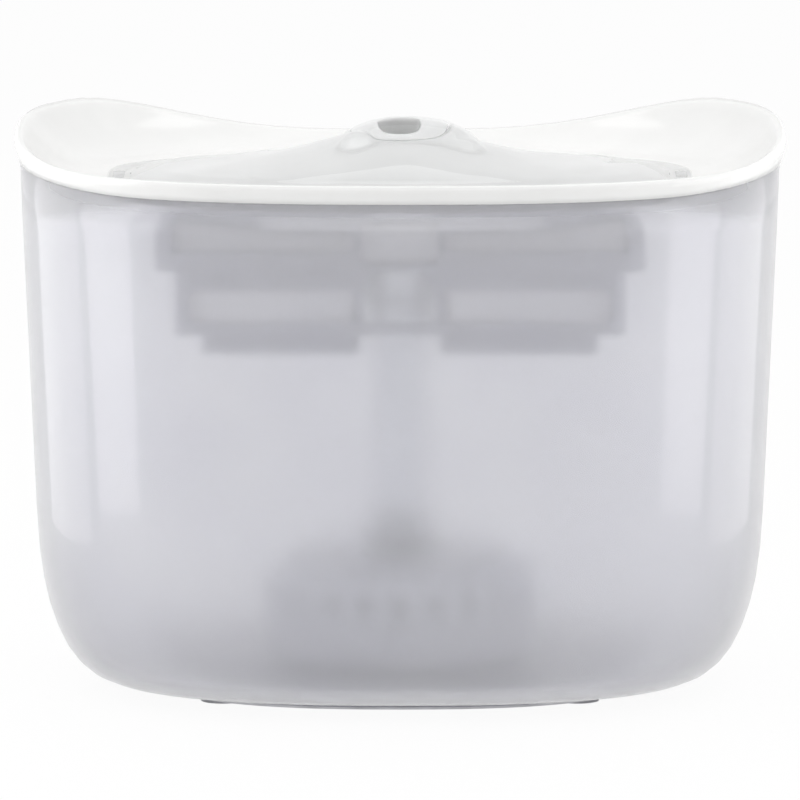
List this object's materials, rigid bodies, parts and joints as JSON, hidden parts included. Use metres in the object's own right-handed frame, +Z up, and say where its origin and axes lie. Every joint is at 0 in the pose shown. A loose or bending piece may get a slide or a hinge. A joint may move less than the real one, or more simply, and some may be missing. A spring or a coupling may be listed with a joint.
{
  "type": "pet water fountain",
  "caption": "Pet water fountain with a frosted tank on a low drive base, a magnetically driven pump, a filter box on the riser and a saddle-rimmed drinking tray.",
  "frame": {"origin": "on the table, under the middle of the footprint", "axes": "+Z up, +X to the right of someone facing the low front lip, -Y is the front"},
  "size_m": [0.195, 0.163, 0.1435],
  "materials": {
    "frosted_shell": "frosted, translucent",
    "white_gloss": "glossy",
    "clear_white": "glossy",
    "filter_frame": "satin",
    "cartridge_plastic": "satin",
    "felt": "needled felt",
    "carbon": "matt granules",
    "resin": "glossy beads",
    "pump_plastic": "satin",
    "silicone": "matt",
    "ceramic": "polished",
    "magnet": "sintered",
    "sponge": "open-cell foam",
    "base_plastic": "satin",
    "steel_sheet": "zinc plated",
    "copper": "enamelled wire",
    "iron": "plated",
    "board": "solder mask",
    "socket_metal": "drawn",
    "ribbon": "polyimide film",
    "grey_rubber": "matt"
  },
  "bodies": {
    "base": {"base_cover": "base_plastic", "base_bottom": "steel_sheet", "drive_coils": "copper", "back_iron": "iron", "circuit_board": "board", "inlet_socket": "socket_metal", "inlet_ribbon": "ribbon", "base_screws": "socket_metal", "rubber_feet": "grey_rubber"},
    "tank": {"tank": "frosted_shell"},
    "pump": {"pump_housing": "pump_plastic", "lower_bush": "silicone", "rotor_shaft": "ceramic", "pump_bumpers": "silicone", "prefilter_sponge": "sponge"},
    "rotor": {"impeller": "white_gloss", "rotor_magnet": "magnet"},
    "pump_head": {"pump_cover": "pump_plastic", "upper_bush": "silicone", "riser_tube": "clear_white", "outlet_gasket": "silicone", "spout_seal": "silicone"},
    "filter": {"filter_housing": "filter_frame"},
    "cartridge": {"cartridge_shell": "cartridge_plastic", "cartridge_lid": "cartridge_plastic", "felt_pad": "felt", "carbon_granules": "carbon", "resin_granules": "resin"},
    "tray": {"top_tray": "white_gloss", "spout": "clear_white"}
  },
  "joints": [
    {"name": "tank_lift", "type": "slide", "parent": "base", "child": "tank", "axis": [0, 0, 1], "range_m": [0, 0.03]},
    {"name": "pump_lift", "type": "slide", "parent": "tank", "child": "pump", "axis": [0, 0, 1], "range_m": [0, 0.13]},
    {"name": "impeller_spin", "type": "hinge", "parent": "pump", "child": "rotor", "pos_m": [0, 0, 0.022], "axis": [0, 0, 1], "continuous": true},
    {"name": "pump_cover_lift", "type": "slide", "parent": "pump", "child": "pump_head", "axis": [0, 0, 1], "range_m": [0, 0.02]},
    {"name": "filter_lift", "type": "slide", "parent": "pump_head", "child": "filter", "axis": [0, 0, 1], "range_m": [0, 0.05]},
    {"name": "cartridge_lift", "type": "slide", "parent": "filter", "child": "cartridge", "axis": [0, 0, 1], "range_m": [0, 0.033]},
    {"name": "tray_lift", "type": "slide", "parent": "cartridge", "child": "tray", "axis": [0, 0, 1], "range_m": [0, 0.03]}
  ]
}
